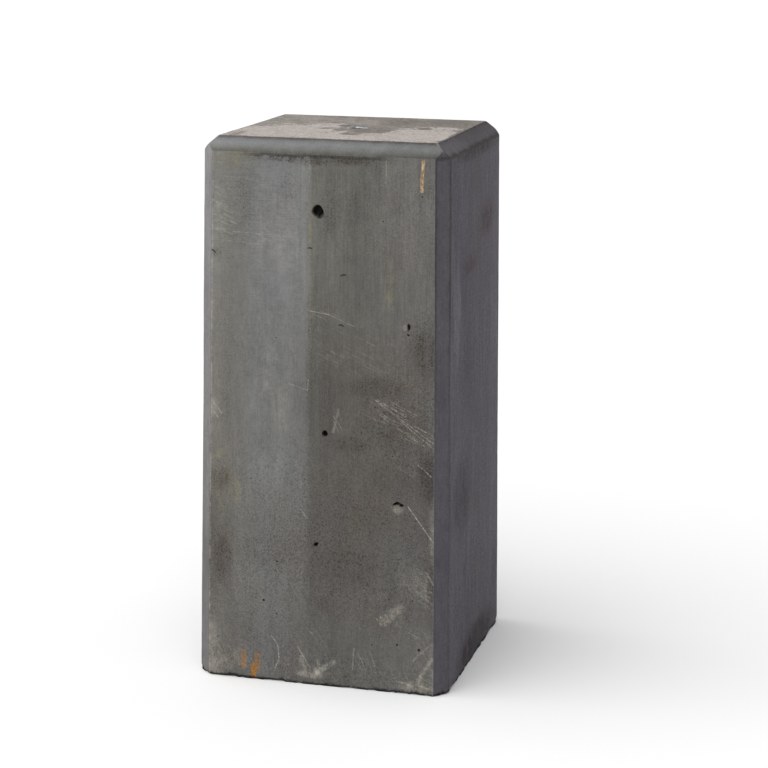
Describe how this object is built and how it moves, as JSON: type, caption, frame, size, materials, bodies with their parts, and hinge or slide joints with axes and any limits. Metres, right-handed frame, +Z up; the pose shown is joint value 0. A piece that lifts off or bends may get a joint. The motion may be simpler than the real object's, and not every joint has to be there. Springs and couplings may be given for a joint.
{
  "type": "column base block",
  "caption": "Tapered precast concrete footing block with chamfered edges and a threaded steel socket in its top, for standing a post or column on.",
  "frame": {"origin": "centre of the block's underside", "axes": "+Z up along the block's axis and the socket's bore, -Y out of the face with the large air holes, +X to the right of that face"},
  "size_m": [0.19, 0.19, 0.4],
  "materials": {
    "concrete": "cast against a steel mould: grey, fine grained, matt, with small air holes and pale bloom",
    "socket": "zinc plated, slightly dull"
  },
  "bodies": {
    "root": {"concrete_block": "concrete", "threaded_socket": "socket"}
  },
  "joints": []
}
